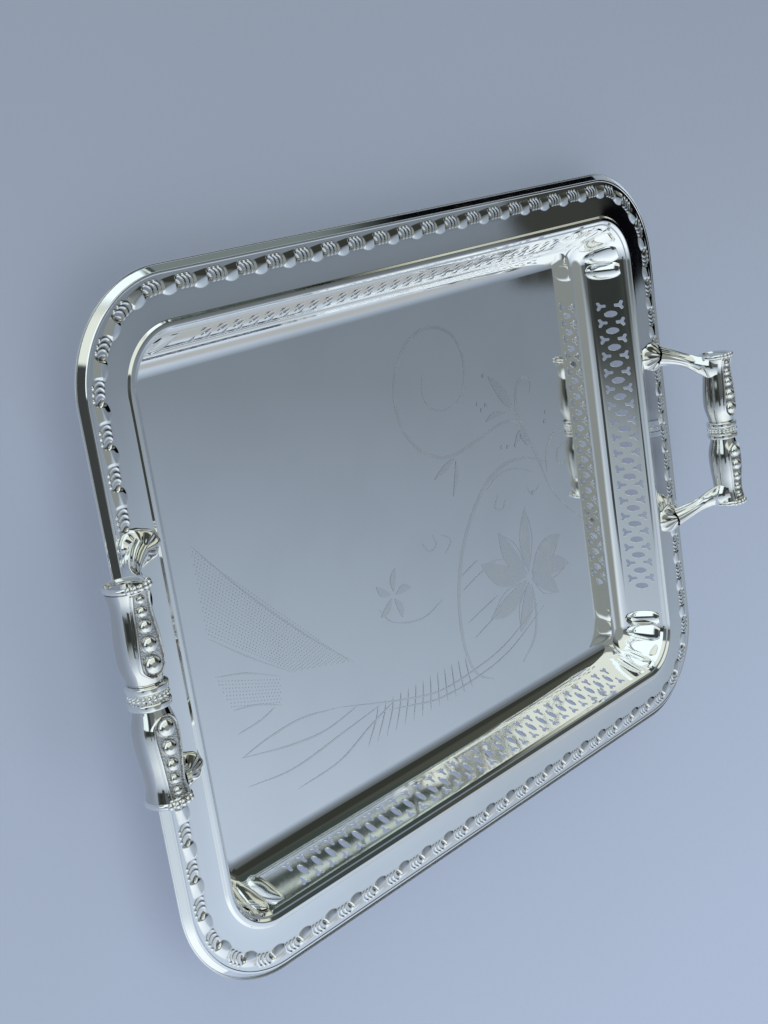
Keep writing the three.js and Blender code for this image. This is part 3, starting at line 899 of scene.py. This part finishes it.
FINE_LINES = [
    [(-147, 36), (-120, 5), (-90, -25), (-60, -51)],
    [(-147, -8), (-125, -25), (-100, -42)],
    [(-147, -27), (-128, -32), (-108, -41)],
    [(-140, -46), (-125, -49), (-110, -55)],
    [(-140, -58), (-126, -57), (-115, -54)],
    [(-36, -32), (-26, -42), (-5, -47), (14, -42)],
    [(30, -35), (46, -30)], [(30, -43), (50, -37)], [(30, -62), (58, -55)], [(34, -72), (60, -64)],
]
FEATHERS = [
    [(-140, -70), (-110, -76), (-85, -78), (-60, -74)],
    [(-140, -70), (-122, -67), (-100, -66), (-75, -70)],
    [(-140, -85), (-110, -88), (-75, -84), (-45, -80)],
    [(-110, -99), (-80, -97), (-55, -88), (-36, -82)],
    [(-75, -70), (-52, -77), (-28, -84), (0, -90), (30, -89), (60, -84), (95, -70)],
    [(-40, -85), (-20, -90), (0, -94), (30, -94), (62, -89), (98, -74)],
]
HATCHES = 13
HATCH_START = -50.0
HATCH_STEP = 6.2
HATCH_LEAN = 9.0  # of the first hatch; each one after it leans less by HATCH_TURN
HATCH_TURN = 0.9
FINE_HALF = 0.42
FEATHER_HALF = 0.5
# Corners of each dotted area: both ends of its first row, then both ends of its last.
WINGS = [
    ((-147, 36), (-60, -51), (-147, -8), (-100, -42)),
    ((-147, -27), (-108, -41), (-140, -46), (-110, -55)),
]
DOT_PITCH = 2.1
DOT_RADIUS = 0.34


class Cutter:
    """Lays frosted cuts on the well floor, each at its own height."""

    def __init__(self):
        self.skin = Skin()
        self.level = WELL_TOP + CUT_LIFT

    def stroke(self, knots, half_width, fullness=0.55):
        """A ribbon along a smooth curve, pointed at both ends."""
        reach = sum(math.dist(a, b) for a, b in zip(knots, knots[1:]))
        line = spline(knots, max(12, int(reach / 1.5)))
        along = np.gradient(line, axis=0)
        along /= np.linalg.norm(along, axis=1)[:, None]
        side = np.stack([-along[:, 1], along[:, 0]], axis=1)
        share = np.linspace(0, 1, len(line))
        half = (half_width * np.clip(np.sin(math.pi * share), 0.04, 1) ** fullness)[:, None]
        edges = np.stack([line + side * half, line - side * half])
        height = np.full((*edges.shape[:2], 1), self.level)
        self.skin.grid(np.concatenate([edges, height], axis=-1), flip=True)
        self.level += CUT_STEP

    def dot(self, centre, radius, sides=10):
        angle = np.linspace(0, 2 * math.pi, sides, endpoint=False)
        ring = np.stack([
            centre[0] + radius * np.cos(angle), centre[1] + radius * np.sin(angle), 0 * angle + self.level,
        ], axis=1)
        self.skin.add(ring, [list(range(sides))])


def engrave():
    """All the cuts, as one piece."""
    cutter = Cutter()
    for half_width, knots in SCROLLS:
        cutter.stroke(knots, half_width)
    for tip_x, tip_y, half_width in PETALS:
        tip = np.array([tip_x, tip_y], float)
        reach = tip - FLOWER
        side = np.array([-reach[1], reach[0]]) / np.linalg.norm(reach)
        start = FLOWER + reach * 0.08
        middle = FLOWER + reach * 0.55 + side * half_width * 0.5
        cutter.stroke([start, middle, tip], half_width, 0.8)
        cutter.stroke([start, middle - side * half_width * 1.5, tip], 0.3)
    for k in range(SMALL_PETALS):
        turn = 2 * math.pi * k / SMALL_PETALS
        petal = []
        for reach, bend in ((2.0, 0.0), (SMALL_REACH * 0.6, SMALL_BEND), (SMALL_REACH, 0.0)):
            x = SMALL_FLOWER[0] + reach * math.cos(turn + bend)
            petal.append((x, SMALL_FLOWER[1] + reach * math.sin(turn + bend)))
        cutter.stroke(petal, SMALL_HALF, 0.8)
    for half_width, knots in LEAVES:
        cutter.stroke(knots, half_width, 0.8)
    for line in FINE_LINES:
        cutter.stroke(line, FINE_HALF)
    for line in FEATHERS:
        cutter.stroke(line, FEATHER_HALF)
    for k in range(HATCHES):
        x = HATCH_START + HATCH_STEP * k
        lean = HATCH_LEAN - HATCH_TURN * k
        cutter.stroke([(x - lean, -98), (x, -86), (x + lean * 0.3, -79)], FINE_HALF)
    for centre in BERRIES:
        cutter.dot(centre, BERRY_RADIUS)
    for corners in WINGS:
        first, second, third, fourth = (np.array(corner, float) for corner in corners)
        rows = int(np.linalg.norm(first - third) / DOT_PITCH)
        for row in range(1, rows):
            share = row / rows
            start = first + (third - first) * share
            end = second + (fourth - second) * share
            count = int(np.linalg.norm(end - start) / DOT_PITCH)
            for k in range(count + 1):
                cutter.dot(start + (end - start) * (k + 0.5 * (row % 2)) / (count + 1), DOT_RADIUS, 6)
    cutter.skin.build("well_engraving", CUT_SILVER, "sheet_silver", [])


engrave()

# ------------------------------------------------------------------ handles, built at +X


def revolve(line, sides=72):
    """Turns [radius, y] points about the Y axis; the angle is measured from straight up."""
    angle = np.linspace(0, 2 * math.pi, sides, endpoint=False)
    line = np.asarray(line, float)
    radius = line[:, :1]
    return np.stack([
        radius * np.sin(angle), np.repeat(line[:, 1:], sides, axis=1), radius * np.cos(angle),
    ], axis=-1)


def dome(skin, centre, radii, sides=20, rings=8, sphere=False):
    """A round bead; radii along X, Y and Z."""
    low = -math.pi / 2 if sphere else -0.3
    tilt = np.linspace(low, math.pi / 2, rings + 1)[:, None]
    angle = np.linspace(0, 2 * math.pi, sides, endpoint=False)[None, :]
    unit = np.stack([
        np.cos(tilt) * np.cos(angle), np.cos(tilt) * np.sin(angle), np.sin(tilt) + 0 * angle,
    ], axis=-1)
    skin.grid(np.array(centre) + unit * np.array(radii), closed=True)


GRIP_FORM = [
    (5.3, 7.2), (7.4, 7.7), (12.5, 9.1), (17.5, 9.5), (24.5, 9.2), (32.5, 8.4), (38.0, 8.3), (43.3, 9.2),
]
PANEL_FORM = [(9.0, 5.0), (14.0, 5.9), (20.0, 5.8), (28.0, 5.0), (36.0, 4.3), (43.3, 4.2)]
PANEL_TIP = 8.2
PANEL_ROUND = 4.6  # length over which the panel's end is rounded
PANEL_SINK = 0.25
PANEL_FRAME = 0.42  # height of the raised line round it
# Place along the grip and radius of each bead.
PANEL_BEADS = [(13.2, 4.1), (21.6, 3.5), (28.9, 2.9), (34.9, 2.4), (40.0, 2.0)]


def form_at(form, y):
    curve = spline(form, 200)
    return np.interp(y, curve[:, 0], curve[:, 1])


def grip_half():
    """One baluster half: round below, with a sunk, stippled and beaded panel along its top."""
    skin = Skin()
    y = np.linspace(GRIP_FORM[0][0], GRIP_FORM[-1][0], 150)[:, None]
    turn = np.linspace(-1, 1, 201)[:-1]
    angle = (math.pi * (0.55 * turn + 0.45 * turn**3))[None, :]
    radius = form_at(GRIP_FORM, y)
    x = radius * np.sin(angle)
    z = radius * np.cos(angle)
    full = form_at(PANEL_FORM, y)
    tip = ridge(np.minimum(y - PANEL_TIP - PANEL_ROUND, 0), PANEL_ROUND)
    half = full * tip
    floor = np.sqrt(radius**2 - full**2) - PANEL_SINK
    upper = np.cos(angle) > 0
    inside = (half - np.abs(x)) * upper + (~upper) * -9
    end_fade = ease(y, PANEL_TIP - 0.5, PANEL_TIP + 0.5) * ease(42.9 - y, 0, 0.5)
    sunk = ease(inside, 0.1, 0.6) * end_fade
    z = z * (1 - sunk) + floor * sunk
    z = z + PANEL_FRAME * ridge(inside + 0.15, 0.65) * end_fade * upper
    points = np.stack([x, y + 0 * x, z], axis=-1)
    # Painted shade, with some tarnish: the lower half of the grip is darkened, and so are the sunk panel
    # and the line just inside its frame.
    underside_shade = 0.5 * ease(np.abs(angle), 0.7, 1.5)
    frame_shade = 0.6 * np.exp(-(((inside - 0.75) / 0.3) ** 2)) * end_fade * upper
    recess = np.clip(sunk * 0.45 + frame_shade + underside_shade, 0, 1)
    skin.grid(points, closed=True, recess=recess, stipple=sunk)
    for row, flip in ((points[0], False), (points[-1], True)):
        skin.add(row, [list(range(len(row)))], flip=flip)
    for place, size in PANEL_BEADS:
        level = math.sqrt(form_at(GRIP_FORM, place) ** 2 - form_at(PANEL_FORM, place) ** 2) - PANEL_SINK
        dome(skin, (0, place, level), (size, size, size * 0.85), 40, 16)
    return skin


COLLAR_BEADS = 21


def collar_ring():
    """The grip's ringed centre, with a row of beads in the groove between its two rings."""
    skin = Skin()
    end = COLLAR_HALF
    line = rounded(
        [(2.3, -end), (7.9, -end), (9.0, -end + 0.6), (9.0, -2.2), (7.5, -1.7), (7.5, 1.7), (9.0, 2.2),
         (9.0, end - 0.6), (7.9, end), (2.3, end)],
        [0.3, 0.7, 0.9, 0.2, 0.2, 0.9, 0.7, 0.3], 6)
    skin.grid(revolve(line, 96), closed=True, flip=True)
    for k in range(COLLAR_BEADS):
        angle = 2 * math.pi * k / COLLAR_BEADS
        centre = (7.8 * math.sin(angle), 0, 7.8 * math.cos(angle))
        dome(skin, centre, (1.08, 1.2, 1.08), 16, 12, sphere=True)
    return skin


CAP_NUBS = 5
NUB_SPACING = math.radians(17.0)
CAP_SIDES = 96


def end_cap():
    """A round cap with a dished end and a few nubs on top."""
    skin = Skin()
    line = rounded(
        [(0.01, CAP_START + 1.6), (2.3, CAP_START + 1.6), (2.3, CAP_START), (9.0, CAP_START),
         (9.9, CAP_START + 0.8), (9.9, CAP_END - 1.0), (8.9, CAP_END), (7.0, CAP_END - 1.5),
         (3.0, CAP_END - 0.6), (0.01, CAP_END - 0.3)],
        [0.1, 0.1, 0.5, 0.8, 0.9, 0.8, 0.9, 0], 6)
    # Painted shade and tarnish in the groove round the dished end.
    groove = 0.55 * np.exp(-(((line[:, 0] - 7.0) / 0.6) ** 2)) * (line[:, 1] > CAP_END - 2.0)
    recess = np.repeat(groove[:, None], CAP_SIDES, axis=1)
    skin.grid(revolve(line, CAP_SIDES), closed=True, recess=recess, flip=True)
    for k in range(CAP_NUBS):
        angle = NUB_SPACING * (k - (CAP_NUBS - 1) / 2)
        centre = (9.3 * math.sin(angle), (CAP_START + CAP_END) / 2, 9.3 * math.cos(angle))
        dome(skin, centre, (1.4, 1.6, 1.4), 18, 12, sphere=True)
    return skin


FOOT_X = 204.4  # outer end of the shell foot, where the arm springs from it
FOOT_Y = 49.8
FOOT_LENGTH = 21.0
FOOT_BACK = 7.0  # how far the shell reaches back under the arm
FOOT_HALF = 8.6
FOOT_HEIGHT = 7.0
FOOT_EDGE = 2.3  # thickness of its rounded edge
FOOT_FLUTES = 9
ARM_LINE = [
    (197.0, 49.8, 31.6), (203.0, 47.9, 35.0), (208.0, 45.6, 39.2), (211.6, 43.2, 43.8), (213.4, 40.9, 49.0),
    (214.4, 39.2, 54.2), (216.4, 38.4, 58.8),
]
# Half width and half depth of the arm at each point of ARM_LINE.
ARM_SIZE = [(5.2, 3.8), (4.3, 3.8), (3.7, 3.5), (4.0, 3.1), (5.0, 2.6), (5.8, 2.1), (5.2, 1.2)]


def shell_foot(skin):
    """Fluted shell lying on the rim, fanned out towards the well, with a thick rounded edge."""
    fan = np.linspace(-math.pi, math.pi, 240, endpoint=False)[None, :]
    along = np.linspace(0, 1, 70)[:, None]
    flutes = np.cos(FOOT_FLUTES * fan)
    reach = np.where(np.cos(fan) > 0, FOOT_LENGTH - FOOT_BACK, FOOT_BACK)
    reach_x = reach * np.cos(fan) * (1 + 0.02 * flutes)
    reach_y = FOOT_HALF * np.sin(fan) * (1 + 0.02 * flutes)
    swell = FOOT_EDGE + (FOOT_HEIGHT - FOOT_EDGE) * (1 - along) ** 1.2
    height = swell * np.sqrt(np.clip(1 - along**7, 0, 1))
    height = height * (1 + 0.08 * flutes * ease(along, 0.1, 0.6))
    x = FOOT_X - FOOT_BACK - reach_x * along
    y = FOOT_Y + reach_y * along
    z = RIM_TOP + 0.05 + height
    # Painted shade and tarnish in the hollows between the flutes.
    recess = np.clip(-flutes * 0.5, 0, 0.4) * ease(along, 0.15, 0.5) * ease(1 - along, 0, 0.1)
    skin.grid(np.stack([x, y, z], axis=-1), closed=True, recess=recess)


ARM_STEPS = 48


def arm():
    """A cast arm rising from its shell foot to the cap, fluted near the foot."""
    skin = Skin()
    line = spline(ARM_LINE, ARM_STEPS)
    size = spline(ARM_SIZE, ARM_STEPS)
    tangent = np.gradient(line, axis=0)
    tangent /= np.linalg.norm(tangent, axis=1)[:, None]
    side = np.array([0.0, 1.0, 0.0]) - tangent * tangent[:, 1:2]
    side /= np.linalg.norm(side, axis=1)[:, None]
    deep = np.cross(tangent, side)
    angle = np.linspace(0, 2 * math.pi, 100, endpoint=False)[None, :, None]
    fluted = (1 - ease(np.linspace(0, 1, ARM_STEPS), 0.25, 0.6))[:, None, None]
    pinch = 1 + 0.10 * np.cos(2 * angle) ** 2 + 0.05 * fluted * np.cos(10 * angle)
    points = (line[:, None] + side[:, None] * size[:, None, :1] * np.cos(angle) * pinch
              + deep[:, None] * size[:, None, 1:] * np.sin(angle) * pinch)
    skin.grid(points, closed=True, flip=True)
    shell_foot(skin)
    return skin


def place_handles():
    """Builds both handles; the left one is the right one turned half round."""
    axis = Matrix.Translation((GRIP_X, 0, GRIP_Z))
    aside = Matrix.Translation((0, HANDLE_SHIFT, 0))
    turned = {"right": aside, "left": aside @ Matrix.Rotation(math.pi, 4, "Z")}
    pieces = {"grip": (grip_half(), axis), "cap": (end_cap(), axis), "arm": (arm(), Matrix.Identity(4))}
    collar = collar_ring()
    for side, turn in turned.items():
        collar.build(f"{side}_collar_silver", CAST_SILVER, "cast_silver", [f"{side}_collar"], turn @ axis)
        for half in (1, -1):
            place = "rear" if (half > 0) == (side == "right") else "front"
            mirror = Matrix.Diagonal((1, half, 1, 1))
            for name, (skin, seat) in pieces.items():
                node = f"{side}_{name}_{place}"
                change = turn @ seat @ mirror
                skin.build(f"{node}_silver", CAST_SILVER, "cast_silver", [node], change, half < 0)


place_handles()

# ------------------------------------------------------------------ fixings

for name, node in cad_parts.items():
    if "screw" in name or "washer" in name or "tie_rod" in name:
        node.data.materials.clear()
        node.data.materials.append(NICKEL)

# ------------------------------------------------------------------ view

bpy.context.scene.view_settings.view_transform = "Standard"
